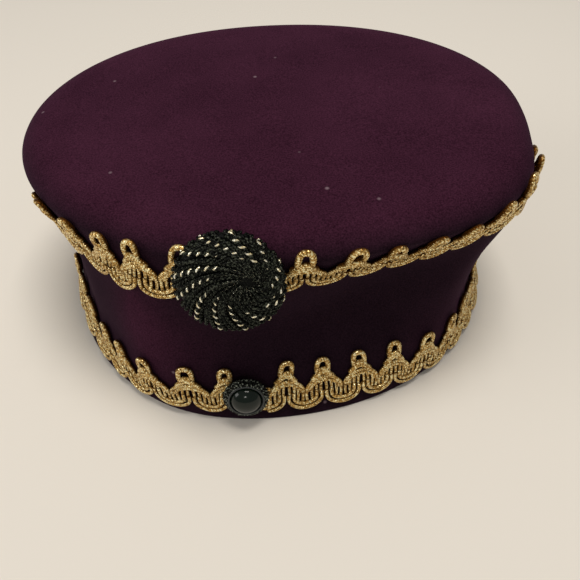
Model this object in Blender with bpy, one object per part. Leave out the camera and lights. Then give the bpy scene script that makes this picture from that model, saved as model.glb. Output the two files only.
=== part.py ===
"""An oval felt fez with two rows of looped gold braid, a corded rosette and a button.

The hat stands on its rim at z = 0, +Z up. Its long axis is X and the ornaments are on the -Y side.
Every piece is laid out on one wall surface: a smooth stack of oval rings with a few soft swells.
"""

import math

import bpy
import numpy as np

# Felt shell, in metres. Lengths are along X, widths along Y.
RIM_LENGTH = 0.2045
RIM_WIDTH = 0.1905
WAIST_LENGTH = 0.1975
WAIST_WIDTH = 0.1600
CROWN_LENGTH = 0.2155
CROWN_WIDTH = 0.1690
WAIST_HEIGHT = 0.0400
EDGE_HEIGHT = 0.0860
TOP_HEIGHT = 0.0943
EDGE_ROLL = 0.0160
DOME_RISE = 0.0015
TRIM_BEND = 0.0120
FELT = 0.0024
SQUARENESS = 2.1
RIM_EGG = -0.045
LEAN = 0.022

# Braid: a scalloped band with a standing loop over each notch.
UPPER_PITCH = 0.0153
LOWER_PITCH = 0.0158
UPPER_JOIN_SHARE = 1.94
LOWER_JOIN_SHARE = 0.69
BRAID_LIFT = 0.00045
BRAID_THICKNESS = 0.0021
SCALLOP_DROP = 0.0082
BAND_RISE = 0.0077
LOOP_RISE = 0.0095
LOOP_WIDTH = 0.0062
LOOP_HOLE = 0.0025
UPPER_JOIN_ANGLE = -96.2
LOWER_JOIN_ANGLE = -95.5

# Rosette and button, both set on the braid.
SEAT_GAP = 0.0003
ROSETTE_DIAMETER = 0.0370
ROSETTE_GAP = 0.0006
ROSETTE_EDGE = 0.0032
ROSETTE_TILT = 0.07
ROSETTE_DOME = 0.0044
ROSETTE_EYE_ACROSS = 0.0085
ROSETTE_EYE_UP = 0.0070
ROSETTE_RIDGE = 0.0007
ROSETTE_SWIRL = 70.0
ROSETTE_ANGLE = -98.3
ROSETTE_UP = 0.917
BEZEL_DIAMETER = 0.0196
BEZEL_HEIGHT = 0.0040
BEZEL_FLOOR = 0.0012
LIP_WIDTH = 0.0011
LIP_RISE = 0.0006
STONE_DIAMETER = 0.0130
STONE_RISE = 0.0036
STONE_GIRDLE = 0.0010
BUTTON_ANGLE = -97.4
BUTTON_UP = 0.182

# Grid counts.
WALL_COLUMNS = 64
OUTER_WALL_ROWS = 12
INNER_WALL_ROWS = 7
ROLL_ROWS = 3
DOME_ROWS = 3
JOIN_COLUMN_SHARE = 0.5
ROSETTE_COLUMNS = 48
ROSETTE_ROWS = 4
TURNED_COLUMNS = 24

# Soft dents and swells of the wall: at angles round the oval (degrees from +X), how far it is pushed out at
# five heights from the rim to the edge, as shares of the crown's width.
SWELLS = (
    {"angle": -180, "rim": 0.010, "low": 0.005, "middle": 0.005, "high": 0.005, "edge": 0.000},
    {"angle": -155, "rim": 0.005, "low": -0.005, "middle": -0.010, "high": -0.010, "edge": -0.010},
    {"angle": -135, "rim": 0.005, "low": 0.020, "middle": 0.025, "high": 0.000, "edge": -0.015},
    {"angle": -115, "rim": 0.010, "low": 0.050, "middle": 0.060, "high": 0.040, "edge": -0.010},
    {"angle": -98, "rim": 0.005, "low": 0.025, "middle": 0.020, "high": 0.025, "edge": -0.005},
    {"angle": -82, "rim": 0.000, "low": -0.005, "middle": -0.030, "high": -0.015, "edge": 0.000},
    {"angle": -68, "rim": 0.000, "low": 0.010, "middle": -0.015, "high": -0.030, "edge": 0.000},
    {"angle": -50, "rim": 0.005, "low": 0.030, "middle": 0.025, "high": -0.005, "edge": 0.020},
    {"angle": -32, "rim": 0.010, "low": 0.005, "middle": 0.020, "high": 0.040, "edge": 0.025},
    {"angle": -12, "rim": 0.010, "low": -0.010, "middle": 0.025, "high": 0.035, "edge": 0.000},
    {"angle": 15, "rim": 0.000, "low": -0.005, "middle": 0.005, "high": 0.010, "edge": 0.000},
    {"angle": 50, "rim": 0.000, "low": 0.000, "middle": 0.000, "high": 0.000, "edge": 0.000},
    {"angle": 150, "rim": 0.000, "low": 0.000, "middle": 0.000, "high": 0.000, "edge": 0.000},
)
SWELL_HEIGHTS = {"rim": 0.0, "low": 0.25, "middle": 0.5, "high": 0.75, "edge": 1.0}

# Height of each braid's middle round the oval, as a share of the edge height.
UPPER_LINE = (
    {"angle": -180, "up": 0.700},
    {"angle": -165, "up": 0.730},
    {"angle": -150, "up": 0.850},
    {"angle": -136, "up": 0.840},
    {"angle": -115, "up": 0.865},
    {"angle": -95, "up": 0.900},
    {"angle": -75, "up": 0.895},
    {"angle": -60, "up": 0.880},
    {"angle": -48, "up": 0.880},
    {"angle": -32, "up": 0.905},
    {"angle": -15, "up": 0.850},
    {"angle": 5, "up": 0.740},
    {"angle": 25, "up": 0.700},
    {"angle": 90, "up": 0.700},
    {"angle": 150, "up": 0.700},
)
LOWER_LINE = (
    {"angle": -180, "up": 0.150},
    {"angle": -150, "up": 0.170},
    {"angle": -125, "up": 0.140},
    {"angle": -108, "up": 0.160},
    {"angle": -84, "up": 0.130},
    {"angle": -66, "up": 0.135},
    {"angle": -50, "up": 0.120},
    {"angle": -10, "up": 0.110},
    {"angle": 20, "up": 0.120},
    {"angle": 90, "up": 0.125},
    {"angle": 140, "up": 0.135},
)

# One repeat of the band. Across is a share of the pitch from the loop's middle; the drop is a share of
# SCALLOP_DROP below the band's middle and the rise a share of BAND_RISE above it.
SCALLOP_EDGE = (
    {"across": -0.50, "drop": 1.00},
    {"across": -0.33, "drop": 0.93},
    {"across": -0.15, "drop": 0.70},
    {"across": 0.00, "drop": 0.46},
    {"across": 0.15, "drop": 0.70},
    {"across": 0.33, "drop": 0.93},
)
ARCH_EDGE = (
    {"across": -0.50, "rise": 0.48},
    {"across": -0.30, "rise": 0.66},
    {"across": -0.13, "rise": 1.00},
    {"across": 0.13, "rise": 1.00},
    {"across": 0.30, "rise": 0.66},
)
# The loop's outline and hole, from its left foot over the top to its right foot: across is a share of the
# half width of the outline or hole, up a share of LOOP_RISE above the foot.
LOOP_OUTLINE = (
    {"across": -1.00, "up": 0.42},
    {"across": -0.88, "up": 0.76},
    {"across": 0.00, "up": 1.00},
    {"across": 0.88, "up": 0.76},
    {"across": 1.00, "up": 0.42},
)
LOOP_EYE = (
    {"across": -0.40, "up": 0.20},
    {"across": -1.00, "up": 0.40},
    {"across": -0.85, "up": 0.58},
    {"across": 0.00, "up": 0.70},
    {"across": 0.85, "up": 0.58},
    {"across": 1.00, "up": 0.40},
    {"across": 0.40, "up": 0.20},
)


def clear_scene():
    for existing in list(bpy.data.objects):
        bpy.data.objects.remove(existing, do_unlink=True)


def make_material(name, colour, roughness, metallic=0.0, sheen=0.0, coat=0.0):
    material = bpy.data.materials.new(name)
    material.use_nodes = True
    shader = material.node_tree.nodes["Principled BSDF"]
    shader.inputs["Base Color"].default_value = (*colour, 1.0)
    shader.inputs["Roughness"].default_value = roughness
    shader.inputs["Metallic"].default_value = metallic
    shader.inputs["Sheen Weight"].default_value = sheen
    shader.inputs["Coat Weight"].default_value = coat
    return material


def felt_material():
    return make_material("purple_felt", (0.045, 0.012, 0.030), 0.95, sheen=0.4)


def gold_material():
    return make_material("gold_braid", (0.62, 0.40, 0.13), 0.42, metallic=0.7)


def cord_material():
    return make_material("black_cord", (0.012, 0.014, 0.012), 0.55)


def bezel_material():
    return make_material("black_bezel", (0.015, 0.017, 0.016), 0.50)


def stone_material():
    return make_material("dark_stone", (0.010, 0.022, 0.018), 0.12, coat=1.0)


def add_object(name, points, faces, material, smooth_angle=35.0):
    """A mesh object with its place in its points, smooth where its faces meet under smooth_angle."""
    mesh = bpy.data.meshes.new(name)
    mesh.from_pydata([tuple(point) for point in points], [], [tuple(face) for face in faces])
    mesh.validate()
    mesh.materials.append(material)
    mesh.shade_smooth()
    mesh.set_sharp_from_angle(angle=math.radians(smooth_angle))
    made = bpy.data.objects.new(name, mesh)
    bpy.context.scene.collection.objects.link(made)
    return made


def turn(angle):
    """An angle in degrees brought to the range from -180 to 180."""
    return (angle + 180.0) % 360.0 - 180.0


def through_three(up, rim, waist, edge):
    """The parabola in height through the sizes at the rim, the waist and the crown's edge."""
    at_waist = WAIST_HEIGHT / EDGE_HEIGHT
    from_rim = rim * (up - at_waist) * (up - 1) / at_waist
    from_waist = waist * up * (up - 1) / (at_waist * (at_waist - 1))
    from_edge = edge * up * (up - at_waist) / (1 - at_waist)
    return from_rim + from_waist + from_edge


def curve_through(places, values, at):
    """Read at each place in at: a smooth curve through the values, its slopes taken from the neighbours."""
    slopes = np.gradient(values, places, axis=0)
    row = np.clip(np.searchsorted(places, at, side="right") - 1, 0, len(places) - 2)
    span = (places[row + 1] - places[row])[..., None]
    share = (at - places[row])[..., None] / span
    start = (1 + 2 * share) * values[row] + share * span * slopes[row]
    end = (3 - 2 * share) * values[row + 1] - (1 - share) * span * slopes[row + 1]
    return start * (1 - share) ** 2 + end * share**2


def round_the_oval(table, columns, angle):
    """The named columns of a table at an angle, on a smooth curve that closes round the oval."""
    places = np.array([row["angle"] for row in table], float)
    values = np.array([[row[column] for column in columns] for row in table])
    places = np.concatenate([places[-2:] - 360.0, places, places[:2] + 360.0])
    values = np.concatenate([values[-2:], values, values[:2]])
    return curve_through(places, values, turn(np.asarray(angle, float)))


def swell_at(angle, up):
    """How far the dents and swells push the wall out, in metres."""
    angle, up = np.broadcast_arrays(np.asarray(angle, float), np.asarray(up, float))
    heights = np.array(list(SWELL_HEIGHTS.values()))
    pushes = round_the_oval(SWELLS, SWELL_HEIGHTS, angle)
    shares = curve_through(heights, np.eye(len(heights)), up)
    return (pushes * shares).sum(-1) * CROWN_WIDTH


def wall_point(angle, up, out=0.0, inset=0.0):
    """Points of the wall at angles in degrees and heights as shares of the edge height."""
    angle, up = np.broadcast_arrays(np.asarray(angle, float), np.asarray(up, float))
    half_length = through_three(up, RIM_LENGTH, WAIST_LENGTH, CROWN_LENGTH) / 2 - inset
    half_width = through_three(up, RIM_WIDTH, WAIST_WIDTH, CROWN_WIDTH) / 2 - inset
    cosine = np.cos(np.radians(angle))
    sine = np.sin(np.radians(angle))
    power = 2 / SQUARENESS
    x = half_length * np.sign(cosine) * np.abs(cosine) ** power
    y = half_width * np.sign(sine) * np.abs(sine) ** power
    y = y * (1 + RIM_EGG * np.clip(1 - up, 0, None) * x / half_length)
    grow = 1 + 2 * swell_at(angle, up) / (half_length + half_width)
    x, y = x * grow, y * grow
    across = np.hypot(x / half_length**2, y / half_width**2)
    x = x + out * x / half_length**2 / across
    y = y + out * y / half_width**2 / across
    return np.stack([x, y, EDGE_HEIGHT * up + LEAN * x * up], -1)


def top_point(angle, turn_share, reach, inset=0.0):
    """Points of the top: turn_share goes round the rolled edge, reach from the roll's end to the pole."""
    quarter = np.asarray(turn_share, float) * math.pi / 2
    points = wall_point(angle, 1.0, inset=inset + EDGE_ROLL * (1 - np.cos(quarter)))
    points[..., :2] *= reach
    rise = (TOP_HEIGHT - EDGE_HEIGHT - inset) * np.sin(quarter) + DOME_RISE * (1 - reach**2)
    points[..., 2] = EDGE_HEIGHT + rise + LEAN * points[..., 0]
    return points


def line_height(line, angle):
    """The height share of a braid's middle at an angle."""
    return round_the_oval(line, ("up",), angle)[..., 0]


def wall_frame(angle, up):
    """The outward and the upward directions of the wall's surface at each place."""
    step = 0.25
    rise = 0.01
    along = wall_point(angle + step, up) - wall_point(angle - step, up)
    upward = wall_point(angle, up + rise) - wall_point(angle, up - rise)
    normal = np.cross(along, upward)
    normal /= np.linalg.norm(normal, axis=-1, keepdims=True)
    return normal, upward / np.linalg.norm(upward, axis=-1, keepdims=True)


def on_wall(angle, middle, rise, out):
    """Points off the hat: rise metres up the wall from the height share middle, and out along its normal.

    Past the crown's edge they bend back over the roll on an arc of TRIM_BEND.
    """
    angle, middle, rise, out = np.broadcast_arrays(angle, middle, rise, out)
    _, upward = wall_frame(angle, middle)
    to_edge = (1 - middle) * EDGE_HEIGHT / upward[..., 2]
    up = middle + np.minimum(rise, to_edge) * upward[..., 2] / EDGE_HEIGHT
    normal, upward = wall_frame(angle, up)
    bend = np.clip(rise - to_edge, 0, None)[..., None] / TRIM_BEND
    points = wall_point(angle, up) + TRIM_BEND * (np.sin(bend) * upward - (1 - np.cos(bend)) * normal)
    return points + out[..., None] * (np.cos(bend) * normal + np.sin(bend) * upward)


class BraidPath:
    """Distances round the wall along a braid's middle, from its join."""

    def __init__(self, line, pitch, join_angle, join_share):
        self.line = line
        self.join_share = join_share
        self.angles = join_angle + np.linspace(0.0, 360.0, 1441)
        ring = wall_point(self.angles, line_height(line, self.angles), out=BRAID_LIFT)
        steps = np.linalg.norm(np.diff(ring, axis=0), axis=1)
        self.distances = np.concatenate([[0.0], np.cumsum(steps)])
        self.length = self.distances[-1]
        self.count = round(self.length / pitch - join_share)
        self.pitch = self.length / (self.count + join_share)

    def place(self, distance, rise, out):
        angle = np.interp(distance % self.length, self.distances, self.angles)
        return on_wall(angle, line_height(self.line, angle), rise, out)


def ring_grid(rows, columns, start=0):
    """Quads between each ring of points and the next, as indexes."""
    faces = []
    for row in range(rows - 1):
        for column in range(columns):
            after = (column + 1) % columns
            low = start + row * columns
            high = low + columns
            faces.append((low + column, low + after, high + after, high + column))
    return faces


def cap_fan(ring_start, columns, pole, upward):
    """Triangles from a ring to its pole point."""
    faces = []
    for column in range(columns):
        pair = (ring_start + column, ring_start + (column + 1) % columns)
        faces.append((*pair, pole) if upward else (*reversed(pair), pole))
    return faces


def shell_rings(angles, wall_rows, inset):
    """The rings of one face of the felt, from the rim to next to the pole."""
    rings = [wall_point(angles, up, inset=inset) for up in np.linspace(0.0, 1.0, wall_rows + 1)]
    for turn_share in np.linspace(0.0, 1.0, ROLL_ROWS + 1)[1:]:
        rings.append(top_point(angles, turn_share, 1.0, inset))
    for reach in np.linspace(1.0, 0.0, DOME_ROWS + 1)[1:-1]:
        rings.append(top_point(angles, 1.0, reach, inset))
    return rings


def make_crown(material):
    """One piece of felt: an outer and an inner face that meet in a flat rim."""
    angles = np.linspace(0.0, 360.0, WALL_COLUMNS, endpoint=False)
    outer = shell_rings(angles, OUTER_WALL_ROWS, 0.0)
    inner = shell_rings(angles, INNER_WALL_ROWS, FELT)
    pole_outer = top_point(np.array([0.0]), 1.0, 0.0)
    pole_inner = top_point(np.array([0.0]), 1.0, 0.0, FELT)
    points = np.concatenate([*outer, pole_outer, *inner, pole_inner])
    inner_start = len(outer) * WALL_COLUMNS + 1
    faces = ring_grid(len(outer), WALL_COLUMNS)
    faces += cap_fan((len(outer) - 1) * WALL_COLUMNS, WALL_COLUMNS, inner_start - 1, True)
    faces += [tuple(reversed(face)) for face in ring_grid(len(inner), WALL_COLUMNS, inner_start)]
    last_ring = inner_start + (len(inner) - 1) * WALL_COLUMNS
    faces += cap_fan(last_ring, WALL_COLUMNS, len(points) - 1, False)
    for column in range(WALL_COLUMNS):
        after = (column + 1) % WALL_COLUMNS
        faces.append((column, inner_start + column, inner_start + after, after))
    return add_object("crown", points, faces, material)


def repeat_outline():
    """The places of one repeat's points: the scallop, the arch, the loop's outline and its eye."""
    foot = BAND_RISE
    outline = [(row["across"] * LOOP_WIDTH / 2, foot + row["up"] * LOOP_RISE) for row in LOOP_OUTLINE]
    eye = [(row["across"] * LOOP_HOLE / 2, foot + row["up"] * LOOP_RISE) for row in LOOP_EYE]
    return outline, eye


def braid_layout(path):
    """Flat layout of the whole braid: (distance, rise) points and front faces, join first."""
    places = []
    faces = []
    rims = []
    outline, eye = repeat_outline()
    scallops = len(SCALLOP_EDGE)
    arches = len(ARCH_EDGE)
    size = scallops + arches + len(outline) + len(eye)
    for number in range(path.count):
        middle = path.pitch * (path.join_share / 2 + 0.5 + number)
        places += [(middle + row["across"] * path.pitch, -row["drop"] * SCALLOP_DROP) for row in SCALLOP_EDGE]
        places += [(middle + row["across"] * path.pitch, row["rise"] * BAND_RISE) for row in ARCH_EDGE]
        places += [(middle + across, rise) for across, rise in outline + eye]
    join_columns = max(1, round(path.join_share / JOIN_COLUMN_SHARE))
    join_start = path.pitch * (path.join_share / 2 + path.count)
    end_low = len(places)
    for column in range(join_columns):
        distance = join_start + path.pitch * path.join_share * column / join_columns
        places.append((distance, -SCALLOP_DROP * SCALLOP_EDGE[0]["drop"]))
        places.append((distance, BAND_RISE * ARCH_EDGE[0]["rise"]))
    for number in range(path.count):
        start = number * size
        following = start + size
        is_last = number == path.count - 1
        low = [start + index for index in range(scallops)] + [end_low if is_last else following]
        arch_start = start + scallops
        high = [arch_start + index for index in range(arches)]
        high.append(end_low + 1 if is_last else following + scallops)
        faces += band_faces(low, high)
        ring = [high[2]] + [arch_start + arches + index for index in range(len(outline))] + [high[3]]
        hole_start = arch_start + arches + len(outline)
        hole = [hole_start + index for index in range(len(eye))]
        faces += loop_faces(ring, hole)
        rims += list(zip(low[:-1], low[1:]))
        rims += [(high[index + 1], high[index]) for index in (0, 1, 3, 4)]
        rims += [(ring[index + 1], ring[index]) for index in range(len(ring) - 1)]
        rims += [(hole[index], hole[(index + 1) % len(hole)]) for index in range(len(hole))]
    for column in range(join_columns):
        low = end_low + 2 * column
        is_last = column == join_columns - 1
        next_low, next_high = (0, scallops) if is_last else (low + 2, low + 3)
        faces.append((low, next_low, next_high, low + 1))
        rims += [(low, next_low), (next_high, low + 1)]
    return places, faces, rims


def band_faces(low, high):
    """Faces between the scalloped edge and the arched edge of one repeat, left to right."""
    return [
        (low[0], low[1], high[1], high[0]),
        (low[1], low[2], high[2], high[1]),
        (low[2], low[3], high[2]),
        (low[3], high[3], high[2]),
        (low[3], low[4], high[3]),
        (low[4], low[5], high[4], high[3]),
        (low[5], low[6], high[5], high[4]),
    ]


def loop_faces(ring, hole):
    """Faces between the loop's outline and its eye, closed along the foot."""
    faces = []
    for index in range(len(ring)):
        after = (index + 1) % len(ring)
        faces.append((ring[after], ring[index], hole[index], hole[after]))
    return faces


def make_braid(name, line, pitch, join_angle, join_share, material):
    """A scalloped band with standing loops, as thick as its cords, following the wall."""
    path = BraidPath(line, pitch, join_angle, join_share)
    places, front, rims = braid_layout(path)
    distance, rise = np.array(places).T
    near = path.place(distance, rise, BRAID_LIFT)
    far = path.place(distance, rise, BRAID_LIFT + BRAID_THICKNESS)
    count = len(places)
    faces = [tuple(index + count for index in face) for face in front]
    faces += [tuple(reversed(face)) for face in front]
    faces += [(first, second, second + count, first + count) for first, second in rims]
    return add_object(name, np.concatenate([near, far]), faces, material)


def seat_frame(angle, up, out):
    """The middle, the sideways, upward and outward directions of a round ornament's seat on the wall."""
    normal, _ = wall_frame(np.array(angle), np.array(up))
    middle = wall_point(np.array(angle), np.array(up)) + out * normal
    upward = np.array([0.0, 0.0, 1.0]) - normal[2] * normal
    upward /= np.linalg.norm(upward)
    return middle, np.cross(upward, normal), upward, normal


def make_rosette(material):
    """A domed disc whose ridges swirl clockwise from rim to eye, off its middle; its back follows the braid."""
    radius = ROSETTE_DIAMETER / 2
    turns = np.arange(ROSETTE_COLUMNS) * 2 * math.pi / ROSETTE_COLUMNS
    ridge = np.where(np.arange(ROSETTE_COLUMNS) % 2 == 0, ROSETTE_RIDGE, 0.0)
    seat = BRAID_LIFT + BRAID_THICKNESS + ROSETTE_GAP
    degree = wall_point(ROSETTE_ANGLE + 1.0, ROSETTE_UP) - wall_point(ROSETTE_ANGLE, ROSETTE_UP)

    def place(across, rise, out):
        return on_wall(ROSETTE_ANGLE + across / np.linalg.norm(degree), ROSETTE_UP, rise, out)

    rings = []
    for reach in np.linspace(1.0, 0.0, ROSETTE_ROWS + 1)[:-1]:
        swirl = turns - math.radians(ROSETTE_SWIRL) * (1 - reach)
        across = radius * reach * np.cos(swirl) + ROSETTE_EYE_ACROSS * (1 - reach)
        rise = radius * reach * np.sin(swirl) + ROSETTE_EYE_UP * (1 - reach)
        dome = ROSETTE_DOME * np.sqrt(np.clip(1 - (np.hypot(across, rise) / radius) ** 2, 0, 1))
        tilt = ROSETTE_TILT * (radius - rise)
        rings.append(place(across, rise, seat + ROSETTE_EDGE + tilt + dome + ridge * reach**0.5))
    rim = place(radius * np.cos(turns), radius * np.sin(turns), np.full(ROSETTE_COLUMNS, seat))
    back_half = place(radius / 2 * np.cos(turns), radius / 2 * np.sin(turns), np.full(ROSETTE_COLUMNS, seat))
    eye_reach = math.hypot(ROSETTE_EYE_ACROSS, ROSETTE_EYE_UP) / radius
    eye_dome = ROSETTE_DOME * math.sqrt(max(0.0, 1 - eye_reach**2))
    eye_out = seat + ROSETTE_EDGE + ROSETTE_TILT * (radius - ROSETTE_EYE_UP) + eye_dome
    eye = place(np.array([ROSETTE_EYE_ACROSS]), np.array([ROSETTE_EYE_UP]), np.array([eye_out]))
    back = place(np.array([0.0]), np.array([0.0]), np.array([seat]))
    points = np.concatenate([back_half, rim, *rings, eye, back])
    layers = ROSETTE_ROWS + 2
    faces = ring_grid(layers, ROSETTE_COLUMNS)
    faces += cap_fan((layers - 1) * ROSETTE_COLUMNS, ROSETTE_COLUMNS, len(points) - 2, True)
    faces += cap_fan(0, ROSETTE_COLUMNS, len(points) - 1, False)
    return add_object("rosette", points, faces, material, smooth_angle=15.0)


def make_turned(name, profile, frame, material):
    """A turned piece from (radius, height) rows, bottom middle to top middle, set in a seat frame."""
    middle, sideways, upward, normal = frame
    turns = np.arange(TURNED_COLUMNS) * 2 * math.pi / TURNED_COLUMNS
    rings = []
    for radius, height in profile[1:-1]:
        ring = np.outer(np.cos(turns), sideways) + np.outer(np.sin(turns), upward)
        rings.append(middle + radius * ring + height * normal)
    bottom = middle + profile[0][1] * normal
    top = middle + profile[-1][1] * normal
    points = np.concatenate([*rings, bottom[None], top[None]])
    faces = ring_grid(len(rings), TURNED_COLUMNS)
    faces += cap_fan(0, TURNED_COLUMNS, len(points) - 2, False)
    faces += cap_fan((len(rings) - 1) * TURNED_COLUMNS, TURNED_COLUMNS, len(points) - 1, True)
    return add_object(name, points, faces, material)


def button_frame():
    """The button's seat: a flat back over the braid's outer face, clear of the wall's curve across it."""
    normal, _ = wall_frame(np.array(BUTTON_ANGLE), np.array(BUTTON_UP))
    middle = wall_point(np.array(BUTTON_ANGLE), np.array(BUTTON_UP))
    reach = BEZEL_DIAMETER / 2
    turns = np.linspace(0.0, 2 * math.pi, 24)
    spread = np.linalg.norm(wall_point(np.array(BUTTON_ANGLE + 1.0), np.array(BUTTON_UP)) - middle)
    angles = BUTTON_ANGLE + reach * np.cos(turns) / spread
    around = wall_point(angles, BUTTON_UP + reach * np.sin(turns) / EDGE_HEIGHT)
    bow = max(0.0, float(np.max((around - middle) @ normal)))
    return seat_frame(BUTTON_ANGLE, BUTTON_UP, BRAID_LIFT + BRAID_THICKNESS + SEAT_GAP + bow)


def make_bezel(frame, material):
    """The corded collar: a shallow cup with a raised lip round the stone's seat."""
    outer = BEZEL_DIAMETER / 2
    seat = STONE_DIAMETER / 2 + SEAT_GAP
    lip = seat + LIP_WIDTH
    profile = (
        (0.0, 0.0),
        (outer * 0.9, 0.0),
        (outer, BEZEL_HEIGHT * 0.4),
        (outer * 0.93, BEZEL_HEIGHT * 0.9),
        (lip, BEZEL_HEIGHT),
        (lip - LIP_WIDTH / 2, BEZEL_HEIGHT + LIP_RISE),
        (seat, BEZEL_HEIGHT),
        (seat, BEZEL_FLOOR),
        (0.0, BEZEL_FLOOR),
    )
    return make_turned("button_bezel", profile, frame, material)


def make_stone(frame, material):
    """The cabochon: a flat back on the bezel's floor, a short girdle and a dome above the lip."""
    radius = STONE_DIAMETER / 2
    floor = BEZEL_FLOOR + SEAT_GAP
    girdle = BEZEL_HEIGHT - STONE_GIRDLE
    profile = [(0.0, floor), (radius * 0.94, floor), (radius, girdle)]
    for share in (0.25, 0.5, 0.75):
        quarter = share * math.pi / 2
        profile.append((radius * math.cos(quarter), girdle + STONE_RISE * math.sin(quarter)))
    profile.append((0.0, girdle + STONE_RISE))
    return make_turned("button_stone", profile, frame, material)


def build():
    clear_scene()
    gold = gold_material()
    make_crown(felt_material())
    make_braid("upper_braid", UPPER_LINE, UPPER_PITCH, UPPER_JOIN_ANGLE, UPPER_JOIN_SHARE, gold)
    make_braid("lower_braid", LOWER_LINE, LOWER_PITCH, LOWER_JOIN_ANGLE, LOWER_JOIN_SHARE, gold)
    make_rosette(cord_material())
    frame = button_frame()
    make_bezel(frame, bezel_material())
    make_stone(frame, stone_material())


build()
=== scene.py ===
import math

import bpy
import numpy as np
from mathutils import Matrix


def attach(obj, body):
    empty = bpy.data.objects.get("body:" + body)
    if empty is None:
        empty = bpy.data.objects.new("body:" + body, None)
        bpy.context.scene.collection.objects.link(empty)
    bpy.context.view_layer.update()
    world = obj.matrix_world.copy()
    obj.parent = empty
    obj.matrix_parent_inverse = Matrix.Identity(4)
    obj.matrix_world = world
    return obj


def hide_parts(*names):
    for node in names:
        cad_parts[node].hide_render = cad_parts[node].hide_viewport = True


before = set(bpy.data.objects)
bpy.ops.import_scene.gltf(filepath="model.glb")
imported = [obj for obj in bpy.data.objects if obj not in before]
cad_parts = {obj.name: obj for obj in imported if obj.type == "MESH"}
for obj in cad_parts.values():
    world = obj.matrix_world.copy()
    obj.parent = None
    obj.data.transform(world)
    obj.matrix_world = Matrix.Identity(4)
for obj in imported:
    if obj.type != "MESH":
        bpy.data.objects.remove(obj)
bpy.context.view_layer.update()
random = np.random.default_rng(11)
mm = 0.001
tiny = 1e-12  # keeps a path's doubled points from a division by zero

# The hat's form: oval sizes in metres at three heights, and the turn of the crown's edge
hatForm = {
    "rimLength": 0.2045, "rimWidth": 0.1905,
    "waistLength": 0.1975, "waistWidth": 0.1600,
    "crownLength": 0.2155, "crownWidth": 0.1690,
    "waistHeight": 0.0400, "edgeHeight": 0.0860, "topHeight": 0.0943,
    "edgeRoll": 0.0160, "domeRise": 0.0015,  # how far in the edge rolls, and the top's rise at its middle
    "trimBend": 0.0120,  # radius on which the braid bends back past the edge
    "squareness": 2.1, "rimEgg": -0.045, "lean": 0.022,  # the oval's power, the rim's egg shape, the slope
    "felt": 0.0024, "rimStart": 0.012,  # thickness, and the height share at which the rounded rim ends
}
# Soft dents and swells of the wall: an angle round the oval, then the push at the swellHeights, as shares of
# the crown's width
swells = np.array([
    (-180, 0.010, 0.005, 0.005, 0.005, 0.000),
    (-155, 0.005, -0.005, -0.010, -0.010, -0.010),
    (-135, 0.005, 0.020, 0.025, 0.000, -0.015),
    (-115, 0.010, 0.050, 0.060, 0.040, -0.010),
    (-98, 0.005, 0.025, 0.020, 0.025, -0.005),
    (-82, 0.000, -0.005, -0.030, -0.015, 0.000),
    (-68, 0.000, 0.010, -0.015, -0.030, 0.000),
    (-50, 0.005, 0.030, 0.025, -0.005, 0.020),
    (-32, 0.010, 0.005, 0.020, 0.040, 0.025),
    (-12, 0.010, -0.010, 0.025, 0.035, 0.000),
    (15, 0.000, -0.005, 0.005, 0.010, 0.000),
    (50, 0.000, 0.000, 0.000, 0.000, 0.000),
    (150, 0.000, 0.000, 0.000, 0.000, 0.000),
])
swellHeights = np.array([0.0, 0.25, 0.5, 0.75, 1.0])
# Height share of each braid's middle at angles round the oval
upperLine = np.array([
    (-180, 0.695), (-165, 0.715), (-150, 0.840), (-136, 0.840), (-115, 0.865), (-95, 0.900), (-75, 0.895),
    (-60, 0.880), (-48, 0.880), (-32, 0.905), (-15, 0.850), (5, 0.740), (25, 0.700), (90, 0.700),
    (150, 0.700),
])
lowerLine = np.array([
    (-180, 0.150), (-150, 0.155), (-125, 0.128), (-108, 0.152), (-84, 0.130), (-66, 0.135), (-50, 0.120),
    (-10, 0.110), (20, 0.120), (90, 0.125), (140, 0.135),
])


# An angle brought between -180 and 180 degrees
def turned(angle):
    return (angle + 180.0) % 360.0 - 180.0


# The parabola in height through the sizes at the rim, the waist and the edge
def throughThree(up, rim, waist, edge):
    middle = hatForm["waistHeight"] / hatForm["edgeHeight"]
    fromRim = rim * (up - middle) * (up - 1) / middle
    fromWaist = waist * up * (up - 1) / (middle * (middle - 1))
    fromEdge = edge * up * (up - middle) / (1 - middle)
    return fromRim + fromWaist + fromEdge


# A smooth curve through the values at the places: cubic pieces whose slopes are taken from the neighbours
def curveThrough(places, values, at):
    slopes = np.gradient(values, places, axis=0)
    row = np.clip(np.searchsorted(places, at, side="right") - 1, 0, len(places) - 2)
    span = (places[row + 1] - places[row])[..., None]
    share = (at - places[row])[..., None] / span
    start = (1 + 2 * share) * values[row] + share * span * slopes[row]
    end = (3 - 2 * share) * values[row + 1] - (1 - share) * span * slopes[row + 1]
    return start * (1 - share) ** 2 + end * share**2


# A table's columns at an angle, on a curve that closes round the oval
def roundTheOval(table, angle):
    places = np.concatenate([table[-2:, 0] - 360, table[:, 0], table[:2, 0] + 360])
    values = np.concatenate([table[-2:, 1:], table[:, 1:], table[:2, 1:]])
    return curveThrough(places, values, turned(np.asarray(angle, float)))


# The wall's push in metres: the table's columns at the angle, weighed by height
def swellAt(angle, up):
    angle, up = np.broadcast_arrays(np.asarray(angle, float), np.asarray(up, float))
    shares = curveThrough(swellHeights, np.eye(len(swellHeights)), up)
    return (roundTheOval(swells, angle) * shares).sum(-1) * hatForm["crownWidth"]


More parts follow.
